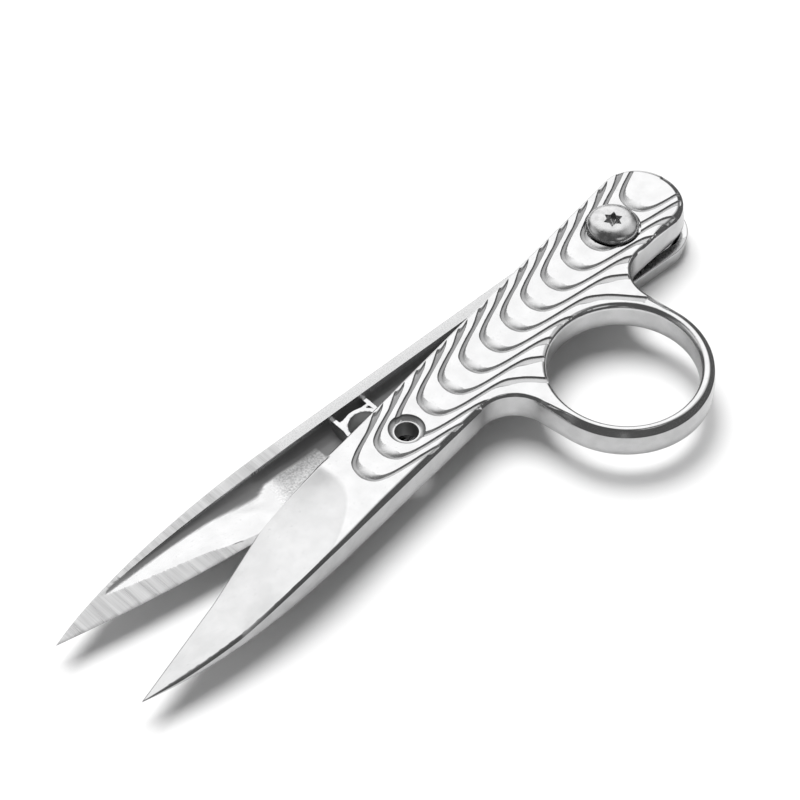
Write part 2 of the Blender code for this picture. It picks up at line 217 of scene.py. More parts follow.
def distance_to(points, loop):
    """Distance from each point to a closed loop, and the nearest of its points."""
    tree = kdtree.KDTree(len(loop))
    for i, (x, y) in enumerate(loop):
        tree.insert((x, y, 0), i)
    tree.balance()
    near = np.array([tree.find((x, y, 0))[1] for x, y in points], int).reshape(-1)
    best = np.full(len(points), 1e9)
    for shift in (-1, 0):
        start = loop[(near + shift) % len(loop)]
        along = loop[(near + shift + 1) % len(loop)] - start
        share = np.sum((points - start) * along, 1) / np.sum(along * along, 1)
        foot = start + along * np.clip(share, 0, 1)[:, None]
        best = np.minimum(best, np.linalg.norm(points - foot, axis=1))
    return best, near


def inside(points, loop):
    """Whether each point lies inside a closed loop."""
    found = np.zeros(len(points), bool)
    x, y = points.T
    for (x0, y0), (x1, y1) in zip(loop, np.roll(loop, -1, axis=0)):
        if y0 != y1:
            crosses = (y0 > y) != (y1 > y)
            found ^= crosses & (x < (x1 - x0) * (y - y0) / (y1 - y0) + x0)
    return found


def smooth(low, high, value):
    share = np.clip((value - low) / (high - low), 0, 1)
    return share * share * (3 - 2 * share)


def soft_min(a, b, blend):
    return (a + b - np.sqrt((a - b) ** 2 + blend * blend)) / 2


# ---- relief


def from_hang(x, y):
    """Distance from the middle of the hang hole."""
    return np.hypot(x - HANG[0], y - HANG[1])


def sweep(y):
    """How far a groove falls back from its nose at this distance from the middle line."""
    reach = np.abs(y)
    tail = 0.3 * np.log1p(np.exp((reach - 5.2) / 0.5))
    return 12.4 / (1 + np.exp((4.0 - reach) / 0.78)) - 0.074 + tail


def lean(y):
    """Cosine of the angle between a groove's side and the middle line's normal."""
    step = 0.01
    slope = (sweep(np.abs(y) + step) - sweep(np.abs(y))) / step
    return 1 / np.sqrt(1 + slope * slope)


def groove_shape(y):
    """A groove at this distance from the middle line: its width, how far it moves outwards, the width of
    its inner bank, its outer and inner depth, and the bank's power."""
    nose = np.exp(-((y / NOSE_SPREAD) ** 2))
    scoop = smooth(*SCOOP_RANGE, y)
    neck = smooth(*NECK_RANGE, y)
    width = ARM_WIDTH + NOSE_WIDTH * nose + SCOOP_WIDTH * scoop + NECK_WIDTH * neck
    shift = 0.30 * smooth(-1.2, -3.0, y) + 0.45 * scoop + 0.70 * neck
    bank = WALL_WIDTH + (NOSE_WIDTH + 0.1) * nose
    beside = smooth(0.5, 2.5, y)
    deep = GROOVE_DEPTH * (1 - 0.40 * nose)
    outer = deep * (1 - 0.45 * beside)
    inner = deep * (0.80 + 0.05 * beside)
    return width, shift, bank, outer, inner, 1 + nose


def groove_place(x, y, shift):
    """How far across its groove a point is, and whether it lies within the relief."""
    behind = GROOVE_FIRST + GROOVE_PITCH * (GROOVES - 1) - x - sweep(y)
    across = behind * lean(y) + shift
    pitch = GROOVE_PITCH * lean(y)
    number = np.floor(across / pitch)
    front = behind < GROOVE_PITCH * NECK_GROOVES
    found = (number >= 0) & (number < GROOVES) & (y < np.where(front, NECK_FRONT, NECK_END))
    return across - number * pitch, found


def groove_end(share, y, fade):
    """1 along a groove, and 0 past the two points of the scoop at its end."""
    return smooth(-0.05, fade, y - end_line(share))


def end_line(share):
    """Where a groove ends at this share of its width."""
    return SCOOP_END - 0.10 * share + 0.42 * np.sin(math.pi * share)


def groove_depth(x, y):
    """Depth of the relief below the outer face."""
    width, shift, bank, outer, inner, power = groove_shape(y)
    across, found = groove_place(x, y, shift)
    share = np.clip(across / width, 0, 1)
    wall = np.clip(across / WALL_WIDTH, 0, 1)
    rise = np.clip((width - across) / bank, 0, 1) ** power
    return (outer + (inner - outer) * share) * wall * rise * found * groove_end(share, y, SCOOP_FADE)


def groove_painted_shade(x, y):
    """Painted shade within a groove: a dark line along each edge, a dark fill along its arms, and a shaded
    gradient down the bank at its nose.
    """
    width, shift = groove_shape(y)[:2]
    across, found = groove_place(x, y, shift)
    share = np.clip(across / width, 0, 1)
    nose = np.exp(-((y / 2.1) ** 2))
    beside = smooth(0.8, 3.0, y)
    neck = smooth(4.2, 6.0, y)
    first = smooth(0.22, 0.12, across) * (0.95 - 0.25 * beside + 0.10 * neck)
    last = smooth(0.26, 0.12, width - across) * 0.90 * (1 - np.where(y < 0, np.exp(-((y / 3.0) ** 2)), nose))
    fill = (0.74 - 0.34 * smooth(-4.9, -5.8, y) - 0.30 * beside - 0.08 * neck) * (1 - nose**2)
    bank = 0.66 * np.clip(1 - share, 0, 1) ** 1.2
    bank = np.sqrt(nose) * np.maximum(0.80 * smooth(0.55, 0.30, across), bank)
    within = (across > 0) & (across < width) & found
    return np.maximum.reduce([first, last, fill, bank]) * within * groove_end(share, y, SCOOP_SHADE_FADE)


def groove_lines():
    """Lines along the grooves' edges, walls and banks."""
    y = np.concatenate([np.arange(SCOOP_LOW, -5.0, 0.05), np.arange(-5.0, NECK_END, 0.14)])
    width, shift, bank = groove_shape(y)[:3]
    floor = (width - bank + WALL_WIDTH) / 2
    across = [0 * y + reach for reach in (-LINE_MARGIN, 0, WALL_WIDTH * 0.5, WALL_WIDTH)]
    across += [floor, width + LINE_MARGIN]
    across += [width - bank * (1 - i / 5) for i in range(6)]
    across += [0 * y + 0.2, width - 0.2, width - 0.34]
    lines = []
    for number in range(GROOVES):
        nose = GROOVE_FIRST + GROOVE_PITCH * number
        lines += [np.stack([nose - (offset - shift) / lean(y) - sweep(y), y], 1) for offset in across]
        lines += [scoop_line(nose, reach) for reach in (-0.05, 0.03, SCOOP_SHADE_FADE, SCOOP_FADE)]
    return lines


def scoop_line(nose, reach):
    """The end of a groove's scoop, moved this far along the groove."""
    share = np.linspace(-0.02, 1.02, 27)
    y = end_line(share) + reach
    width, shift = groove_shape(y)[:2]
    return np.stack([nose - (share * width - shift) / lean(y) - sweep(y), y], 1)


# ---- outer faces


def edge_distance(x, y, side):
    """Distance from the cutting edge, across the blade."""
    if side > 0:
        slope = (RING_TIP[1] - RING_HEEL[1]) / (RING_TIP[0] - RING_HEEL[0])
        edge = RING_HEEL[1] + slope * np.maximum(0, x - RING_HEEL[0])
        return np.maximum(0, y - edge) * RING_EDGE_COSINE
    share = np.clip((x - PLAIN_HEEL[0]) / (PLAIN_TIP[0] - PLAIN_HEEL[0]), 0, 1)
    edge = PLAIN_HEEL[1] - share * (PLAIN_EDGE_FALL + PLAIN_EDGE_CURVE * share)
    return np.maximum(0, edge - y) * PLAIN_EDGE_COSINE


def shoulder(over):
    """Where the oval shoulder lies at this distance from its start."""
    return SHOULDER_X + SHOULDER_CURVE * over**3


def blade_share(x, y, side):
    """How far a point is along the face's ramp, from 0 at the shoulder to 1 at the ramp's foot."""
    over = np.clip(side * y + SHOULDER_START, 0, 11)
    length = RAMP_LENGTH - 0.4 * over if side > 0 else PLAIN_RAMP_LENGTH - 0.8 * over
    return (x - shoulder(over)) / length


def shoulder_line(shift):
    """The oval shoulder, moved this far along the blade."""
    y = np.linspace(-6.2, 5.4, 60)
    return np.stack([shoulder(np.clip(y + SHOULDER_START, 0, 11)) + shift, y], 1)


def blade_face(x, y, side):
    """Height of the ground face: a plane from the cutting edge, which sweeps up to an oval shoulder."""
    plane = EDGE_THICKNESS + FACE_SLOPE * edge_distance(x, y, side)
    share = np.minimum(blade_share(x, y, side), 1)
    power = RAMP_POWER if side > 0 else PLAIN_RAMP_POWER
    return plane + np.maximum(HEIGHT - plane, 0.3) * (1 - share) ** power + np.clip(HANDLE_FRONT - x, 0, 9)


def outer_surface(x, y, side):
    return soft_min(HEIGHT, blade_face(x, y, side), SHOULDER_BLEND)


def edge_bevels(loop, side):
    """Width of the bevelled edge at each point of an outline."""
    normal = normals_of(loop)
    x, y = loop[:, 0], loop[:, 1] * side
    cutting = smooth(0.0, 0.3, -side * normal[:, 1]) * smooth(54.0, 70.0, x)
    width = BEVEL_WIDTH + (SPINE_BEVEL - BEVEL_WIDTH) * smooth(58.0, 70.0, x)
    turn = np.gradient(np.unwrap(np.arctan2(normal[:, 1], normal[:, 0])))
    width = width * (1 - 0.45 * (turn < -1e-3) * (x < 50) + 0.25 * smooth(10.0, 14.0, y))
    width = width * (1 + 0.30 * smooth(8.0, 2.0, x) * (y > 0))
    width = width * (1 - 0.4 * smooth(-5.5, -6.1, y) * (x < 58))
    width = width * (1 - cutting) + 0.02 * cutting
    return np.minimum(width, 0.42 * outer_surface(loop[:, 0], loop[:, 1], side))


def edge_slopes(loop):
    """Slope of the bevel at each point of an outline: gentler towards the rear."""
    return BEVEL_SLOPE - REAR_EASE * np.clip(-normals_of(loop)[:, 0], 0, 1)


def bevel_drop(distance, width, slope):
    """How far a bevelled edge falls at this distance inside the outline."""
    blend = BEVEL_BLEND * width / BEVEL_WIDTH
    over = slope * (width - distance)
    return np.where(distance < 3, (over + np.sqrt(over * over + blend * blend)) / 2, 0.0)


def round_drop(distance, radius):
    """How far a rounded edge falls at this distance inside the outline."""
    short = np.clip(radius - distance, 0, radius)
    return radius - np.sqrt(np.maximum(radius**2 - short**2, 0))


# ---- sheets and solids


def runs_of(line, keep):
    """The stretches of a line whose points are kept."""
    cuts = np.flatnonzero(np.diff(keep.astype(int))) + 1
    parts = zip(np.split(line, cuts), np.split(keep, cuts))
    return [part for part, flags in parts if flags[0] and len(part) > 1]


def between_loops(points, loops):
    """Whether each point lies inside the first loop and outside the others."""
    found = inside(points, loops[0])
    for hole in loops[1:]:
        found &= ~inside(points, hole)
    return found


def triangulated(loops, lines, fill):
    """A flat mesh inside the first loop and outside the others, with the lines as edges."""
    edges, count = [], 0
    for i, line in enumerate(loops + lines):
        last = len(line) if i < len(loops) else len(line) - 1
        edges += [(count + k, count + (k + 1) % len(line)) for k in range(last)]
        count += len(line)
    points = np.concatenate(loops + lines + [fill])
    found = delaunay_2d_cdt([Vector(p) for p in points], edges, [], 0, 1e-5)
    flat = np.array([tuple(p) for p in found[0]])
    faces = np.array(found[2])
    place = np.full(len(points), -1)
    for new, sources in enumerate(found[3]):
        place[sources] = new
    on_rim = np.zeros(len(flat), bool)
    on_rim[place[: sum(map(len, loops))]] = True
    doubtful = np.flatnonzero(on_rim[faces].all(1))
    keep = np.ones(len(faces), bool)
    keep[doubtful] = between_loops(flat[faces[doubtful]].mean(1), loops)
    return flat, faces[keep]


def grid_points(low, high, spacing):
    """Staggered points over a box."""
    rows = np.arange(low[1], high[1], spacing * 0.87)
    points = []
    for i, y in enumerate(rows):
        x = np.arange(low[0] + (i % 2) * spacing / 2, high[0], spacing)
        points.append(np.stack([x, np.full(len(x), y)], 1))
    return np.concatenate(points)


class Solid:
    """Collects vertices and faces of one piece, in millimetres, with a material number on each face."""

    def __init__(self):
        self.points, self.faces, self.slots, self.count = [], [], [], 0
        # Marks on each vertex: painted shade, and how grainy the blasted floor is.
        self.marks = {"painted_shade": [], "sand": []}

    def add(self, points, faces, slots, painted_shade=0.0, sand=0.0):
        self.points.append(points)
        self.marks["painted_shade"].append(np.zeros(len(points)) + painted_shade)
        self.marks["sand"].append(np.zeros(len(points)) + sand)
        self.faces += [tuple(int(i) + self.count for i in face) for face in faces]
        self.slots += list(slots)
        self.count += len(points)
        return self.count - len(points)

    def strip(self, low, high, slot=0):
        """Quads between two closed rows of vertex numbers, which already exist."""
        for i in range(len(low)):
            k = (i + 1) % len(low)
            self.faces.append((int(low[i]), int(low[k]), int(high[k]), int(high[i])))
            self.slots.append(slot)

    def mesh(self, name, matrix):
        data = bpy.data.meshes.new(name)
        data.from_pydata(np.concatenate(self.points).tolist(), [], self.faces)
        data.polygons.foreach_set("material_index", np.array(self.slots, np.int32))
        for mark, values in self.marks.items():
            data.attributes.new(mark, "FLOAT", "POINT").data.foreach_set("value", np.concatenate(values))
        shape = bmesh.new()
        shape.from_mesh(data)
        bmesh.ops.remove_doubles(shape, verts=shape.verts, dist=1e-4)
        bmesh.ops.recalc_face_normals(shape, faces=shape.faces)
        shape.to_mesh(data)
        shape.free()
        data.transform(matrix)
        data.shade_smooth()
        data.set_sharp_from_angle(angle=math.radians(32))
        return data


# ---- inner sides

POCKET_FLOOR = 3.0
POCKET_STEEP = 0.12
POCKET_FILLET = 1.7
POCKET_REAR = -7.575
POCKET_MIDDLE = 0.275
POCKET_RADIUS = 4.825
HOLLOW_START = 64.0
HOLLOW_END = 95.5
HOLLOW_POWER = 1.3
SAND_X = 54.7
# Painted shade in the blade's hollow and in the handle's pocket.
HOLLOW_SHADE = 0.88
POCKET_SHADE = 0.75
RIM_DROP = 1.4
LEAST_METAL = 0.45
RIM_X = 60.0
RIB_DROP = 0.9
RIBS = (44.75, 50.5)
BOSS_RADIUS = 3.2
BOSS_GAP = 0.45
NUT_BOSS_RADIUS = 5.0
NUT_BOSS_GAP = 1.35
PIN_BOSS = (14.4, -1.54)


def along_hollow(x):
    """0 at the start of the blade's hollow and 1 at its end."""
    return np.clip((x - HOLLOW_START) / (HOLLOW_END - HOLLOW_START), 0, 1)


def spine_line(x, side):
    """The opening's edge beside the spine, on the axis that points from the spine to the cutting edge."""
    t = along_hollow(x)
    if side < 0:
        return -4.55 + 0.2 * smooth(56, 70, x) + 1.85 * t**2
    return -4.55 + 1.25 * smooth(4, HOLLOW_START, x) + 2.6 * t**2


def cutting_line(x, side):
    """The opening's other edge, along the ground strip."""
    t = along_hollow(x)
    if side < 0:
        return 5.1 - 0.35 * smooth(4, HOLLOW_START, x) - 0.525 * np.log1p(np.exp((t - 0.185) / 0.06))
    return 5.1 - 0.5 * smooth(50, HOLLOW_START, x) - 2.0 * t - 2.9 * t**2


def foot_line(x, side):
    """Where the wall beside the spine meets the floor of the blade's hollow."""
    if side < 0:
        return -3.1 + 1.3 * smooth(64.0, 67.0, x) - 0.9 * smooth(67.0, 76.0, x) + 0.45 * smooth(80, 93, x)
    return spine_line(x, side) + 0.35 + 1.65 * (1 - along_hollow(x))


def opening_loop(side):
    """The edge of a half's hollow side, from the rear of the handle to the end of the blade's hollow."""
    x = np.arange(POCKET_REAR, HOLLOW_END, 0.4)
    rear = arc((POCKET_REAR, POCKET_MIDDLE), POCKET_RADIUS, 90, 270, 0.4)[1:-1]
    cutting = np.stack([x, cutting_line(x, side)], 1)[::-1]
    points = np.concatenate([np.stack([x, spine_line(x, side)], 1), cutting, rear])
    return points if side < 0 else (points * (1, -1))[::-1]


def wall_profile(reach, floor):
    """Depth at this distance inside an opening: a steep wall, a round corner and a flat floor."""
    steep = floor - POCKET_FILLET
    corner = np.clip((reach - POCKET_STEEP) / POCKET_FILLET, 0, 1)
    fall = steep * np.clip(reach / POCKET_STEEP, 0, 1)
    return fall + POCKET_FILLET * np.sqrt(1 - (1 - corner) ** 2) * (reach > POCKET_STEEP)


def opening_depth(x, across, side):
    """Depth of the handle's pocket and the blade's hollow."""
    from_spine = across - spine_line(x, side)
    from_edge = cutting_line(x, side) - across
    rear = POCKET_RADIUS - np.hypot(x - POCKET_REAR, across - POCKET_MIDDLE)
    from_spine = np.where(x < POCKET_REAR, rear, from_spine)
    from_edge = np.where(x < POCKET_REAR, rear, from_edge)
    deep = POCKET_FLOOR * (1 - along_hollow(x)) ** HOLLOW_POWER
    corner = np.maximum(1.45 * (foot_line(x, side) - spine_line(x, side)), 0.15)
    wall = deep * np.sqrt(1 - (1 - np.clip(from_spine / corner, 0, 1)) ** 2)
    spine_side = np.where(x > RIBS[1], wall, wall_profile(from_spine, POCKET_FLOOR))
    rise = np.clip(from_edge, 0, None) / np.maximum(from_spine + from_edge - 0.6 * corner, 0.3)
    floor = deep * (1 - smooth(57.0, 80.0, x) * (1 - np.minimum(rise, 1)))
    blend = 0.04 + np.minimum(0.56, 0.4 * deep) * smooth(56.0, 64.0, x)
    edge_side = soft_min(floor, wall_profile(from_edge, POCKET_FLOOR), blend)
    depth = soft_min(spine_side, edge_side, blend)
    return np.where(np.minimum(from_spine, from_edge) > 0, np.maximum(depth, 0), 0.0)


def island_distance(x, y):
    """Distance outside the ribs, web and boss that carry the hang hole; negative within them."""
    ring = np.abs(from_hang(x, y) - 2.85) - 0.35
    ribs = np.minimum(np.abs(x - RIBS[0]), np.abs(x - RIBS[1])) - 0.33
    web = np.maximum(np.abs(y + 3.1) - 0.25, np.maximum(RIBS[0] - x, x - RIBS[1]))
    found = ring
    for part in (ribs, web):
        share = np.clip(0.5 + (part - found) / 0.4, 0, 1)
        found = part + (found - part) * share - 0.2 * share * (1 - share)
    return np.where(np.abs(x - HANG[0]) < 5, found, 9)


def rim_share(x, y, side):
    """1 where the plain half's rim is lowered, on the ring's side and at the rear."""
    if side > 0:
        return 0 * x
    beside = smooth(RIM_X, RIM_X - 0.25, x) * smooth(3.0, 3.25, y)
    behind = smooth(-9.5, -9.75, x) * smooth(-3.5, -3.25, y)
    return np.maximum(beside, behind)


def raised(depth, distance, top):
    """The depth with a boss whose side is at this distance and whose top is at this depth."""
    return np.where(distance < 0.2, np.minimum(depth, top + (depth - top) * smooth(0, 0.2, distance)), depth)


def inner_depth(x, y, side):
    """Depth of the inner side from the shear plane, which always leaves some metal below it."""
    depth = opening_depth(x, -side * y, side)
    outer = outer_surface(x, y, side)
    metal = outer - np.minimum(LEAST_METAL, 0.4 * outer)
    depth = np.maximum(soft_min(depth, metal, 0.25 * metal * smooth(56, 62, x) + 0.01), 0) * (depth > 0)
    if side < 0:
        depth = raised(depth, island_distance(x, y), RIB_DROP)
        depth = raised(depth, np.hypot(x, y) - NUT_BOSS_RADIUS, NUT_BOSS_GAP)
        depth = raised(depth, np.hypot(x - PIN_BOSS[0], y - PIN_BOSS[1]) - 2.0, RIM_DROP)
    else:
        depth = raised(depth, from_hang(x, y) - 3.1, RIB_DROP)
        lug = np.maximum(np.abs(x - 14.5) - 0.9, np.abs(y - 1.38) - 1.4)
        depth = raised(depth, lug, 0.6)
    depth = raised(depth, np.hypot(x, y) - BOSS_RADIUS, BOSS_GAP)
    return np.maximum(depth, RIM_DROP * rim_share(x, y, side))


def down_wall(x, across, side):
    """0 at the top of the wall beside the spine, and 1 at its foot."""
    spine = spine_line(x, side)
    return (across - spine) / np.maximum(foot_line(x, side) - spine, 0.15)


def inner_painted_shade(x, y, side):
    """Painted shade on the inner side: over the pocket, down the wall of the blade's hollow to its foot, and
    along the hollow's cutting edge.
    """
    across = -side * y
    share = down_wall(x, across, side)
    beyond = smooth(SAND_X - 0.1, SAND_X + 0.1, x)
    dark = POCKET_SHADE + (HOLLOW_SHADE - POCKET_SHADE) * smooth(RIBS[1], RIBS[1] + 1, x)
    dark = dark * (1 - beyond * smooth(0.78, 1.08, share))
    dark = dark * (inner_depth(x, y, side) > 1e-3) * (1 - rim_share(x, y, side))
    if side < 0:
        dark = dark * smooth(0.0, 0.12, island_distance(x, y))
    edge = 0.5 * smooth(0.24, 0.06, cutting_line(x, side) - across) * (across < cutting_line(x, side))
    dark = np.maximum(dark, edge * smooth(66.0, 69.0, x) * (x < HOLLOW_END))
    return dark * smooth(0.0, 0.1, np.hypot(x, y) - BOSS_RADIUS)


def inner_sand(x, y, side):
    """How grainy the floor is: blasted between the ribs and the blade's hollow."""
    across = -side * y
    beside = smooth(0.8, 1.1, down_wall(x, across, side))
    return smooth(SAND_X - 0.1, SAND_X + 0.1, x) * smooth(65.5, 62.5, x - 0.35 * across) * beside


# ---- halves

BORE_RADIUS = 2.3
RING_HANG_RADIUS = 1.68
PLAIN_HANG_RADIUS = 2.5
SINK_WIDTH = 0.92
SINK_DEPTH = 0.62
SPOT_RADIUS = 4.05
SPOT_DEPTH = 0.4
NUT_POCKET_RADIUS = 4.3
NUT_POCKET_DEPTH = 2.4
BORE_ROUNDS = (0.08, 0.06, 0.80)
RIM_SHARES = (0.03, 0.10, 0.20, 0.32, 0.45, 0.60, 0.75)
CREASES = (-0.06, 0.0, 0.07, 0.16)
HANG_RINGS = (0.25, 0.5, 0.75, 0.9, 0.97, 1.0, 1.03)
FLOOR_ROWS = (0.3, 0.5, 0.7, 0.9, 1.1, 1.3, 1.6, 2.0, 2.4)
RELIEF_EDGE = (0.30, 0.55)
GRID_BOX = (-14, -7), (104, 30)
RIBS_BOX = (43.4, -5.2), (52.2, 5.2)
WALL_SHARES = (0.25, 0.5, 0.75, 0.92, 1.0)
FINGER_BULGE = 0.12
RING_BULGE = 0.10
FLAT_DEPTH = 0.03
POLISHED, GROUND, WALL, SATIN = 0, 1, 2, 3


def hexagon_distance(x, y, radius):
    """Distance outside a hexagon with this corner radius; negative within it."""
    sides = [np.abs(x * math.cos(a) + y * math.sin(a)) for a in np.radians((30, 90, 150))]
    return np.maximum.reduce(sides) - radius * math.cos(math.pi / 6)


def sunk(x, y, side):
    """Depth of what is cut into the outer face beside the grooves."""
    if side < 0:
        return NUT_POCKET_DEPTH * smooth(0.03, 0, hexagon_distance(x, y, NUT_POCKET_RADIUS))
    spot = SPOT_DEPTH * smooth(SPOT_RADIUS + 0.05, SPOT_RADIUS, np.hypot(x, y))
    reach = np.clip((from_hang(x, y) - RING_HANG_RADIUS) / SINK_WIDTH, 0, 1)
    return spot + SINK_DEPTH * np.sqrt(1 - reach * reach)


class Half:
    """One cast half. side is 1 for the ring half and -1 for the plain half."""

    def __init__(self, side):
        self.side = side
        outline = ring_outline() if side > 0 else plain_outline()
        bores = [((0, 0), BORE_RADIUS)]
        bores += [(HANG, RING_HANG_RADIUS if side > 0 else PLAIN_HANG_RADIUS)]
        if side > 0:
            bores += [(RING_CENTRE, FINGER_RADIUS)]
        self.loops = [outline] + [circle(*bore)[::-1] for bore in bores]
        self.normals = [normals_of(loop) for loop in self.loops]
        self.base = [self.base_round(i) for i in range(len(self.loops))]
        self.draft = [self.draft_of(i) for i in range(len(self.loops))]
        self.top = [loop - n * d[:, None] for loop, n, d in zip(self.loops, self.normals, self.draft)]
        self.low = [loop - n * b[:, None] for loop, n, b in zip(self.loops, self.normals, self.base)]
        self.bevel = edge_bevels(self.top[0], side)
        self.slope = edge_slopes(self.top[0])

    def base_round(self, i):
        loop, normal = self.loops[i], self.normals[i]
        if i:
            return np.full(len(loop), 0.35 if i == 3 else 0.08)
        sharp = smooth(0.0, 0.3, -self.side * normal[:, 1]) * smooth(52.0, 58.0, loop[:, 0])
        tip = smooth(92, 100, loop[:, 0])
        return BASE_ROUND * (1 - np.maximum(sharp, tip)) + 0.012

    def draft_of(self, i):
        loop, normal = self.loops[i], self.normals[i]
        if i:
            return np.zeros(len(loop))
        rear = np.clip(-normal[:, 0], 0, 1) ** 2 * smooth(-6, -8, loop[:, 0])
        share = np.clip((70.0 - loop[:, 0]) / 10.0, 0, 1)
        return (SIDE_DRAFT + (REAR_DRAFT - SIDE_DRAFT) * rear) * share

    def outer_height(self, points):
        """Height of the outer face, with its grooves and rounded edges."""
        x, y = points.T
        across = y * self.side
        height = outer_surface(x, y, self.side) - sunk(x, y, self.side)
        height = height - groove_depth(x, across) * self.rim_fade(points)
        distance, near = distance_to(points, self.top[0])
        height = height - bevel_drop(distance, self.bevel[near], self.slope[near])
        for loop, radius in zip(self.top[1:], BORE_ROUNDS):
            height = height - round_drop(distance_to(points, loop)[0], radius)
        return height

    def rim_fade(self, points):
        """0 at the outer face's edges and 1 further in, where the grooves have their full depth."""
        found = np.ones(len(points))
        for loop in self.top:
            found = np.minimum(found, smooth(*RELIEF_EDGE, distance_to(points, loop)[0]))
        return found

    def blade_dullness_and_shade(self, points):
        """How dark the ground face is: evenly a little dull, with painted shade beside its shoulder and along
        its cutting edge, and darker towards the tip.
        """
        x, y = points.T
        share = blade_share(x, y, self.side)
        face = 0.09 + 0.10 * np.exp(-np.maximum(share, 0) / 0.10) + 0.10 * smooth(75, 102, x)
        distance, near = distance_to(points, self.top[0])
        cutting = smooth(0.0, 0.3, -self.side * self.normals[0][near][:, 1]) * smooth(72.0, 74.0, x)
        return face * smooth(-0.01, 0.03, share) + 0.6 * cutting * smooth(0.16, 0.08, distance)

    def outer_painted_shade(self, points):
        """Painted shade on the outer face: in its grooves, on the ground face, and on the countersink of the
        hang hole.
        """
        x, y = points.T
        painted_shade = groove_painted_shade(x, y * self.side) * self.rim_fade(points) + self.blade_dullness_and_shade(points)
        if self.side < 0:
            return painted_shade
        # Painted shade on the countersink of the hang hole: grey down its slope and darker at its outer edge,
        # with the ledge at the hole left bright.
        reach = (from_hang(x, y) - RING_HANG_RADIUS) / SINK_WIDTH
        sink = 0.55 * smooth(0.15, 0.35, reach) + 0.40 * smooth(0.80, 0.95, reach)
        within = smooth(1.03, 1.0, reach)
        return painted_shade * (1 - within) + sink * within

    def within(self, points, loops, margin):
        """The points that lie in the metal, this far from its edges."""
        keep = between_loops(points, loops)
        for loop in loops:
            keep[keep] &= distance_to(points[keep], loop)[0] > margin
        return keep

    def kept_lines(self, lines, loops, margin=0.02):
        joined = self.within(np.concatenate(lines), loops, margin)
        kept, start = [], 0
        for line in lines:
            kept += runs_of(line, joined[start : start + len(line)])
            start += len(line)
        return kept

    def fill(self, box, spacing, loops, margin=0.25):
        points = grid_points(*box, spacing)
        return points[self.within(points, loops, margin)]

    def outer_face(self, solid):
        lines = groove_lines()
        lines += [shoulder_line(shift) for shift in (-0.2, 0.0, 0.3, 0.7)]
        lines = [line * (1, self.side) for line in lines]
        rings = [(HANG, RING_HANG_RADIUS + SINK_WIDTH * share) for share in HANG_RINGS]
        rings += [((0, 0), SPOT_RADIUS + d) for d in (0.0, 0.05)]
        if self.side > 0:
            lines += [circle(*ring, spacing=0.25) for ring in rings]
        else:
            turns = np.radians(range(0, 420, 60))
            corners = NUT_POCKET_RADIUS * np.stack([np.cos(turns), np.sin(turns)], 1)
            pocket = [bezier(*pair, spacing=1.0) for pair in zip(corners, corners[1:])]
            lines += pocket + [edge * 1.01 for edge in pocket]
        fill = [self.fill(GRID_BOX, 0.5, self.top)]
        widths = [self.bevel] + [np.full(len(loop), r) for loop, r in zip(self.top[1:], BORE_ROUNDS)]
        for loop, normal, width in zip(self.top, self.normals, widths):
            for share in RIM_SHARES:
                row = loop - normal * (width * share)[:, None]
                fill.append(row[self.within(row, self.top, 0.012)])
            for reach in CREASES:
                row = loop - normal * (width + reach)[:, None]
                lines.append(np.concatenate([row, row[:1]]))
        kept = self.kept_lines(lines, self.top, 0.012)
        flat, faces = triangulated(self.top, kept, np.concatenate(fill))
        points = np.column_stack([flat, self.outer_height(flat)])
        solid.add(points, faces, np.full(len(faces), POLISHED), self.outer_painted_shade(flat))

    def inner_face(self, solid):
        opening = opening_loop(self.side)
        lines = [opening, opening - normals_of(opening) * POCKET_STEEP]
        lines += [np.array([(x, 3.0), (x, 6.5)]) for x in (RIM_X, RIM_X - 0.25)]
        lines = [np.concatenate([line, line[:1]]) for line in lines[:2]] + lines[2:]
        fill = [self.fill(GRID_BOX, 0.6, self.low)]
        if self.side < 0:
            fill.append(self.fill(RIBS_BOX, 0.13, self.low, 0.1))
        for centre, radius in (((0, 0), BOSS_RADIUS), ((0, 0), NUT_BOSS_RADIUS), (HANG, 3.1)):
            lines += [circle(centre, radius + d, spacing=0.4) for d in (0, 0.1, 0.2)]
        for reach in FLOOR_ROWS:
            row = opening - normals_of(opening) * reach
            fill.append(row[self.within(row, self.low, 0.1)])
        flat, faces = triangulated(self.low, self.kept_lines(lines, self.low), np.concatenate(fill))
        place = *flat.T, self.side
        points = np.column_stack([flat, inner_depth(*place)])
        slots = self.inner_slots(points[faces].mean(1))
        solid.add(points, faces, slots, inner_painted_shade(*place), inner_sand(*place))

    def inner_slots(self, centres):
        """Ground along the blade's edges, satin on the rim, and polished elsewhere."""
        x, y, depth = centres.T
        across = -self.side * y
        flat = depth < FLAT_DEPTH
        ground = flat & ((x > 59.7 + 0.35 * (across + 5.5)) | (across > 3.6) & (x > 56))
        rim = np.where(flat | (across > 5.0), SATIN, POLISHED)
        return np.where(ground, GROUND, rim)

    def walls(self, solid):
        """The outer wall and the walls of the bores, from the inner side to the outer face."""
        for i, loop in enumerate(self.loops):
            normal, base, draft = self.normals[i], self.base[i], self.draft[i]
            low = inner_depth(*self.low[i].T, self.side)
            high = self.outer_height(self.top[i])
            bulge = (FINGER_BULGE if i == 3 else 0) + 0 * base
            if i == 0 and self.side > 0:
                bulge = RING_BULGE * smooth(7.0, 10.0, loop[:, 1])
            rows = [(base, low)]
            for turn in np.radians((30, 60, 90)):
                rows.append((base * (1 - math.sin(turn)), low + base * (1 - math.cos(turn))))
            start = low + base
            for share in WALL_SHARES:
                inset = draft * share - bulge * 4 * share * (1 - share)
                rows.append((inset, start + (high - start) * share))
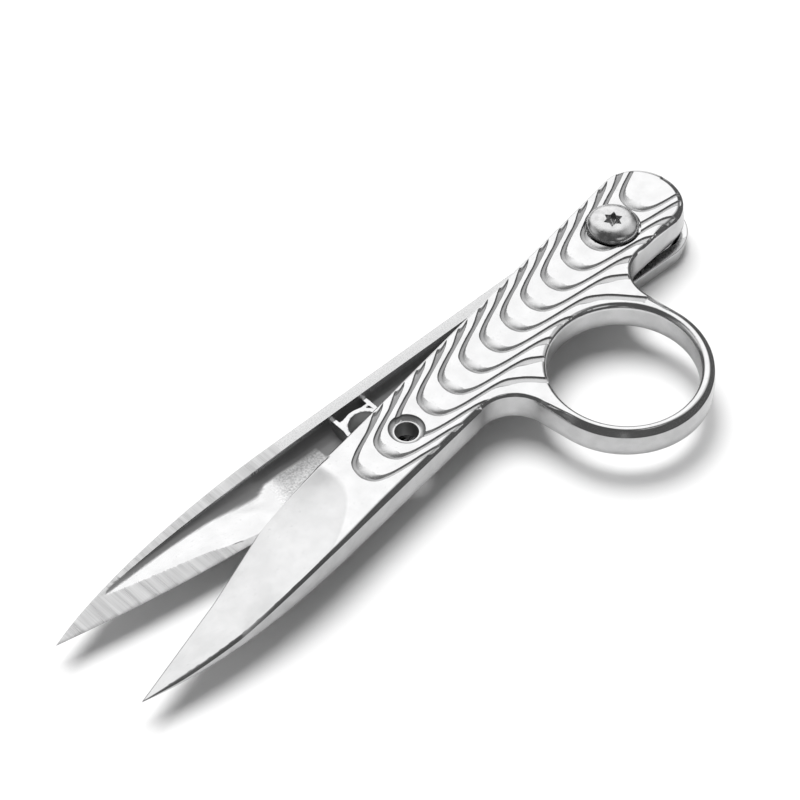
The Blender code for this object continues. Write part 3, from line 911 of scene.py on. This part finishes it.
            # Painted shade on the hang hole's bore wall.
            painted_shade = POCKET_SHADE if i == 2 else 0.0
            rows = [np.column_stack([loop - normal * inset[:, None], height]) for inset, height in rows]
            firsts = [solid.add(row, [], [], painted_shade) for row in rows]
            count = np.arange(len(loop))
            for a, b in zip(firsts, firsts[1:]):
                solid.strip(count + a, count + b, POLISHED if i == 2 else WALL)

    def mesh(self, name, matrix):
        solid = Solid()
        self.outer_face(solid)
        self.inner_face(solid)
        self.walls(solid)
        return solid.mesh(name, matrix)


def half_matrix(side):
    """From a half's own millimetres to its place in the scene."""
    if side > 0:
        place = Matrix.Translation(PIVOT + Vector((0, 0, SHEAR_HIGH))) @ Matrix.Rotation(OPEN_ANGLE, 4, "Z")
        return place @ Matrix.Scale(MM, 4)
    return Matrix.Translation(PIVOT + Vector((0, 0, SHEAR_LOW))) @ Matrix.Diagonal((MM, MM, -MM, 1))


# ---- small parts

HEAD_RADIUS = 3.8
HEAD_RISE = 1.4
HEAD_RIM = 0.3
HEAD_FLAT = 1.65
HEAD_DISH = 0.02
DOME_STEPS = 14
SHANK_RADIUS = 2.0
SOCKET_TIP = 1.42
SOCKET_WAIST = 0.86
SOCKET_DEPTH = 1.0
SOCKET_LIP = 0.07
ROUND_POINTS = 144
TURN = np.linspace(0, 2 * math.pi, ROUND_POINTS, endpoint=False)
WIRE_RADIUS = 0.35
COIL_RADIUS = 3.85
COIL_LOW = 3.65
COIL_HIGH = 6.45
COIL_TURNS = 3
LEG_LENGTH = 11.5


def placed(name, data, materials=()):
    item = bpy.data.objects.new(name, data)
    bpy.context.scene.collection.objects.link(item)
    for material in materials:
        data.materials.append(material)
    return item


def turned(name, rings, closed=False):
    """A piece round the pivot from rings of (radius, height), where a radius may vary with the angle."""
    solid = Solid()
    starts = []
    for radius, height in rings:
        row = np.column_stack([radius * np.cos(TURN), radius * np.sin(TURN), height + 0 * TURN])
        starts.append(solid.add(row, [], []))
    count = np.arange(ROUND_POINTS)
    follow = starts[1:] + starts[:1] if closed else starts[1:]
    for a, b in zip(starts, follow):
        solid.strip(count + a, count + b)
    if not closed:
        solid.faces += [tuple(count + starts[0]), tuple(count + starts[-1])]
        solid.slots += [0, 0]
    return solid.mesh(name, Matrix.Translation(PIVOT) @ Matrix.Scale(MM, 4))


def star_radius(angle):
    """Radius of a pointed six-lobed star."""
    share = np.abs((angle / (math.pi / 3)) % 1 - 0.5) * 2
    turn = (1 - share) * math.pi / 6
    slope = SOCKET_WAIST * math.sin(math.pi / 6) / (SOCKET_WAIST * math.cos(math.pi / 6) - SOCKET_TIP)
    return -slope * SOCKET_TIP / (np.sin(turn) - slope * np.cos(turn))


def screw_mesh():
    """Low button head with a star socket, over a plain shank."""
    star = star_radius(TURN - OPEN_ANGLE - math.pi / 6)
    seat = TOP_FACE / MM - SPOT_DEPTH + 0.3
    top = TOP_FACE / MM + HEAD_RISE
    rings = [(star * 0.02, top - SOCKET_DEPTH - 0.15), (star * 0.5, top - SOCKET_DEPTH)]
    rings += [(star * 0.97, top - SOCKET_DEPTH + 0.1), (star, top - 0.10), (star + 0.02, top - 0.03)]
    rings += [(star + SOCKET_LIP, top)]
    for share in (0.35, 0.7, 1.0):
        rings.append((star + SOCKET_LIP + (HEAD_FLAT - star - SOCKET_LIP) * share, top - HEAD_DISH * share))
    for step in range(1, DOME_STEPS + 1):
        turn = math.pi / 2 * step / DOME_STEPS
        radius = HEAD_FLAT + (HEAD_RADIUS - HEAD_FLAT) * math.sin(turn)
        height = (top - HEAD_DISH - seat - HEAD_RIM) * math.cos(turn) ** 0.9
        rings.append((radius, seat + HEAD_RIM + height))
    rings += [(HEAD_RADIUS - 0.02, seat + 0.18), (HEAD_RADIUS - 0.12, seat + 0.06), (HEAD_RADIUS - 0.3, seat)]
    rings += [(SHANK_RADIUS, seat), (SHANK_RADIUS, 0.9), (SHANK_RADIUS - 0.2, 0.6)]
    return turned("screw", rings)


def nut_mesh():
    """Thin hexagon nut with its outer corners turned off."""
    flat = 4.0 * math.cos(math.pi / 6)
    hexagon = flat / np.cos((TURN % (math.pi / 3)) - math.pi / 6)
    low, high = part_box("lock_nut")[0].z / MM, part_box("lock_nut")[1].z / MM
    rings = [(BORE_RADIUS + 0.25, low), (np.minimum(hexagon, flat + 0.1), low)]
    rings += [(hexagon, low + 0.25), (hexagon, high - 0.05), (hexagon - 0.05, high)]
    rings += [(BORE_RADIUS, high), (BORE_RADIUS, low + 0.25)]
    return turned("nut", rings, closed=True)


def spring_points():
    """Centre line of the return spring: leg, coil round the bosses, leg."""
    wound = 2 * math.pi * COIL_TURNS + math.pi - OPEN_ANGLE
    steps = 48 * COIL_TURNS
    points = [Vector((LEG_LENGTH * i / 6, -COIL_RADIUS, COIL_LOW)) for i in range(6, 0, -1)]
    for i in range(steps + 1):
        angle = -math.pi / 2 - wound * i / steps
        height = COIL_LOW + (COIL_HIGH - COIL_LOW) * i / steps
        points.append(Vector((COIL_RADIUS * math.cos(angle), COIL_RADIUS * math.sin(angle), height)))
    along = Vector((math.cos(OPEN_ANGLE), math.sin(OPEN_ANGLE), 0)) * LEG_LENGTH / 6
    return points + [points[-1] + along * i for i in range(1, 7)]


def spring_mesh():
    curve = bpy.data.curves.new("spring_wire", "CURVE")
    curve.dimensions = "3D"
    curve.bevel_depth = WIRE_RADIUS * MM
    curve.bevel_resolution = 4
    curve.use_fill_caps = True
    path = spring_points()
    spline = curve.splines.new("POLY")
    spline.points.add(len(path) - 1)
    for point, place in zip(spline.points, path):
        point.co = (*(PIVOT + place * MM), 1.0)
    wire = bpy.data.objects.new("spring_wire", curve)
    mesh = bpy.data.meshes.new_from_object(wire)
    mesh.name = "return_spring"
    bpy.data.objects.remove(wire)
    return mesh


# ---- materials


def grey(value):
    return (value, value, value * 1.005, 1)


def put(node, values):
    """Sets inputs of a node by name."""
    for name, value in values.items():
        node.inputs[name].default_value = value


class Steel:
    """A steel finish, built up from texture nodes."""

    def __init__(self, name, shade, roughness):
        self.material = bpy.data.materials.new(name)
        self.material.use_nodes = True
        self.nodes = self.material.node_tree.nodes
        self.links = self.material.node_tree.links
        self.shader = self.nodes["Principled BSDF"]
        put(self.shader, {"Metallic": 1.0, "Base Color": grey(shade), "Roughness": roughness})
        self.place = self.nodes.new("ShaderNodeTexCoord").outputs["Object"]
        self.normal = None

    def noise(self, scale, detail=3.0, stretch=(1, 1, 1), contrast=(0.35, 0.65)):
        """A value from 0 to 1. scale is in features per metre, before the stretch."""
        mapping = self.nodes.new("ShaderNodeMapping")
        put(mapping, {"Scale": [scale * share for share in stretch]})
        self.links.new(self.place, mapping.inputs["Vector"])
        texture = self.nodes.new("ShaderNodeTexNoise")
        put(texture, {"Scale": 1.0, "Detail": detail})
        self.links.new(mapping.outputs["Vector"], texture.inputs["Vector"])
        return self.between(texture.outputs["Fac"], contrast, (0, 1))

    def between(self, value, source, target):
        """The value moved from one range to another."""
        spread = self.nodes.new("ShaderNodeMapRange")
        put(spread, dict(zip(("From Min", "From Max", "To Min", "To Max"), (*source, *target))))
        self.links.new(value, spread.inputs["Value"])
        return spread.outputs["Result"]

    def mark(self, name):
        """The value stored under this name on the mesh."""
        node = self.nodes.new("ShaderNodeAttribute")
        node.attribute_name = name
        return node.outputs["Fac"]

    def joined(self, operation, first, second):
        node = self.nodes.new("ShaderNodeMath")
        node.operation = operation
        self.links.new(first, node.inputs[0])
        self.links.new(second, node.inputs[1])
        return node.outputs[0]

    def mix(self, factor, first, second):
        """Colour between two greys; either may be a socket."""
        node = self.nodes.new("ShaderNodeMix")
        node.data_type = "RGBA"
        self.links.new(factor, node.inputs[0])
        for socket, colour in ((node.inputs[6], first), (node.inputs[7], second)):
            if isinstance(colour, float):
                socket.default_value = grey(colour)
            else:
                self.links.new(colour, socket)
        return node.outputs[2]

    def colour(self, socket):
        self.links.new(socket, self.shader.inputs["Base Color"])

    def roughness(self, value, low, high):
        self.links.new(self.between(value, (0, 1), (low, high)), self.shader.inputs["Roughness"])

    def bump(self, value, depth):
        """Adds relief of this depth in metres."""
        node = self.nodes.new("ShaderNodeBump")
        put(node, {"Strength": 1.0, "Distance": depth})
        self.links.new(value, node.inputs["Height"])
        if self.normal:
            self.links.new(self.normal, node.inputs["Normal"])
        self.normal = node.outputs["Normal"]
        self.links.new(self.normal, self.shader.inputs["Normal"])


def polished_steel():
    """Tumbled and polished casting, with painted shade where the mesh is marked for it, and grainy where it
    was blasted.
    """
    steel = Steel("polished_steel", 0.62, 0.14)
    painted_shade, sand = steel.mark("painted_shade"), steel.mark("sand")
    clouds = steel.noise(350)
    grain = steel.noise(9000, 4)
    sandy = steel.noise(3500, 5)
    plain = steel.mix(clouds, 0.585, 0.635)
    speckled = steel.mix(steel.noise(2600, 5, contrast=(0.28, 0.37)), 0.55, plain)
    blasted = steel.mix(sandy, 0.50, 0.82)
    # Painted shade: where the mesh's shade mark is set, the colour goes to dark grey, and the metal turns
    # less metallic and rougher.
    steel.colour(steel.mix(painted_shade, steel.mix(sand, speckled, blasted), 0.13))
    matt = steel.joined("MAXIMUM", steel.between(painted_shade, (0, 1), (0.0, 0.85)), sand)
    steel.roughness(matt, 0.14, 0.46)
    steel.links.new(steel.between(painted_shade, (0.2, 1), (1.0, 0.35)), steel.shader.inputs["Metallic"])
    steel.bump(clouds, 4e-6)
    steel.bump(grain, 6e-7)
    steel.bump(steel.joined("MULTIPLY", sandy, sand), 1.2e-5)
    return steel.material


def wall_steel():
    """Sides of a half: darker than its faces as painted shade, and a little rougher."""
    steel = Steel("wall_steel", 0.50, 0.20)
    clouds = steel.noise(500)
    steel.colour(steel.mix(clouds, 0.46, 0.53))
    steel.roughness(clouds, 0.18, 0.24)
    steel.bump(clouds, 5e-6)
    steel.bump(steel.noise(8000, 4), 8e-7)
    return steel.material


def satin_steel():
    """Inner rim of a half: flat, with a fine sandy grain."""
    steel = Steel("satin_steel", 0.55, 0.28)
    grain = steel.noise(5000, 4)
    steel.colour(steel.mix(grain, 0.46, 0.60))
    steel.roughness(grain, 0.24, 0.34)
    steel.bump(grain, 1.5e-6)
    return steel.material


def ground_steel():
    """Ground edge: stripes across the blade from the wheel."""
    steel = Steel("ground_steel", 0.45, 0.3)
    stripes = steel.noise(1000, 2, (1, 0.06, 1))
    fine = steel.noise(6000, 3, (1, 0.02, 1))
    dull = steel.mix(stripes, 0.35, 0.50)
    steel.colour(steel.mix(fine, dull, steel.mix(stripes, 0.42, 0.58)))
    steel.roughness(stripes, 0.26, 0.34)
    steel.bump(stripes, 3e-6)
    steel.bump(fine, 1e-6)
    return steel.material


def small_steel(name, dark, light, low, high):
    """Turned or drawn steel with an uneven sheen."""
    steel = Steel(name, light, low)
    clouds = steel.noise(900, 3)
    fine = steel.noise(7000, 4)
    steel.colour(steel.mix(clouds, dark, light))
    steel.roughness(clouds, low, high)
    steel.bump(clouds, 8e-6)
    steel.bump(fine, 8e-7)
    return steel.material


# ---- studio

CAMERA_DISTANCE = 0.486
CAMERA_LENS = 159.4
CAMERA_BACK = Vector((0.441, 0.468, 0.766))
AIM = Vector((0.04447, 0.00283, 0.0))
SUN_HEIGHT = 72
SUN_TURN = 20
SUN_ANGLE = 36
SUN_POWER = 3.0
FLOOR_REACH = 3.0
FLOOR_SKY = 0.27
BASE_SKY = 0.12


def camera():
    data = bpy.data.cameras.new("camera")
    data.lens = CAMERA_LENS
    data.sensor_width = 36.0
    data.clip_start = 0.01
    item = placed("camera", data)
    back = CAMERA_BACK.normalized()
    item.location = PIVOT + AIM + Vector((0, 0, TOP_FACE)) + back * CAMERA_DISTANCE
    item.rotation_euler = back.to_track_quat("Z", "Y").to_euler()
    bpy.context.scene.camera = item


def floor():
    mesh = bpy.data.meshes.new("floor")
    corners = [(x * FLOOR_REACH, y * FLOOR_REACH, 0) for x, y in ((-1, -1), (1, -1), (1, 1), (-1, 1))]
    mesh.from_pydata(corners, [], [(0, 1, 2, 3)])
    material = bpy.data.materials.new("floor_paper")
    material.use_nodes = True
    shader = material.node_tree.nodes["Principled BSDF"]
    put(shader, {"Base Color": (0.92, 0.92, 0.92, 1), "Roughness": 0.9, "Specular IOR Level": 0.1})
    placed("floor", mesh, [material])


def sun():
    light = bpy.data.lights.new("sun", "SUN")
    light.energy = SUN_POWER
    light.angle = math.radians(SUN_ANGLE)
    item = placed("sun", light)
    item.rotation_euler = (math.radians(90 - SUN_HEIGHT), 0, -math.radians(SUN_TURN))
    item.visible_glossy = False


def lobe(nodes, links, direction, strength, spread, softness):
    """Light from round one direction of the sky."""
    place = nodes.new("ShaderNodeTexCoord")
    toward = nodes.new("ShaderNodeVectorMath")
    toward.operation = "DOT_PRODUCT"
    toward.inputs[1].default_value = Vector(direction).normalized()
    links.new(place.outputs["Generated"], toward.inputs[0])
    fall = nodes.new("ShaderNodeMapRange")
    fall.interpolation_type = "SMOOTHSTEP"
    low, high = (math.cos(math.radians(spread + reach)) for reach in (softness, -softness))
    put(fall, {"From Min": low, "From Max": high, "To Max": strength})
    links.new(toward.outputs["Value"], fall.inputs["Value"])
    return fall.outputs["Result"]


# Direction, strength, and the radius and softness in degrees of each light that the metal reflects
LOBES = (
    ((-0.44, -0.66, 0.60), 1.45, 29, 9),
    ((0.70, -0.60, 0.30), 0.25, 22, 12),
    ((0.05, 0.66, 0.75), 0.80, 10, 6),
    ((0.66, 0.70, 0.28), 0.70, 5, 4),
    ((-0.68, 0.18, 0.70), 0.70, 22, 10),
    ((0.38, -0.66, 0.64), 0.60, 15, 8),
)


def lobes(nodes, links):
    """Light from all the lobes and from the whole sky."""
    total = None
    for each in LOBES:
        add = nodes.new("ShaderNodeMath")
        add.inputs[1].default_value = BASE_SKY
        if total is not None:
            links.new(total, add.inputs[1])
        links.new(lobe(nodes, links, *each), add.inputs[0])
        total = add.outputs[0]
    return total


def world():
    """A sky that only the metal reflects; the floor and the camera each see a plain one."""
    sky = bpy.data.worlds.new("studio")
    bpy.context.scene.world = sky
    sky.use_nodes = True
    nodes, links = sky.node_tree.nodes, sky.node_tree.links
    background = nodes["Background"]
    put(background, {"Color": (1, 1, 1, 1)})
    rays = nodes.new("ShaderNodeLightPath")
    strength = lobes(nodes, links)
    for kind, value in (("Is Diffuse Ray", FLOOR_SKY), ("Is Camera Ray", 1.0)):
        pick = nodes.new("ShaderNodeMix")
        links.new(rays.outputs[kind], pick.inputs["Factor"])
        links.new(strength, pick.inputs["A"])
        pick.inputs["B"].default_value = value
        strength = pick.outputs["Result"]
    links.new(strength, background.inputs["Strength"])


# ---- assembly


def cast_half(side, name, materials):
    piece = placed(name + "_steel", Half(side).mesh(name, half_matrix(side)), materials)
    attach(piece, name)
    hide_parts(name)


def fitting(name, mesh, node, material):
    piece = placed(name, mesh, [material])
    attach(piece, "plain_half")
    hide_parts(node)


def kept(node, material):
    """A CAD node that is shown as it is, with this finish."""
    frame["nodes"][node].data.materials.clear()
    frame["nodes"][node].data.materials.append(material)


def spring(material):
    piece = placed("coil_spring", spring_mesh(), [material])
    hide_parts("return_spring")
    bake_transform(piece)


bpy.context.scene.view_settings.view_transform = "Standard"
camera()
floor()
sun()
world()
finishes = [polished_steel(), ground_steel(), wall_steel(), satin_steel()]
cast_half(1, "ring_half", finishes)
cast_half(-1, "plain_half", finishes)
screw_steel = small_steel("screw_steel", 0.45, 0.62, 0.16, 0.30)
pin_steel = small_steel("pin_steel", 0.42, 0.56, 0.22, 0.32)
fitting("screw", screw_mesh(), "pivot_screw", screw_steel)
fitting("nut", nut_mesh(), "lock_nut", screw_steel)
kept("thrust_washer", pin_steel)
kept("stop_pin", pin_steel)
spring(small_steel("spring_steel", 0.36, 0.48, 0.22, 0.34))
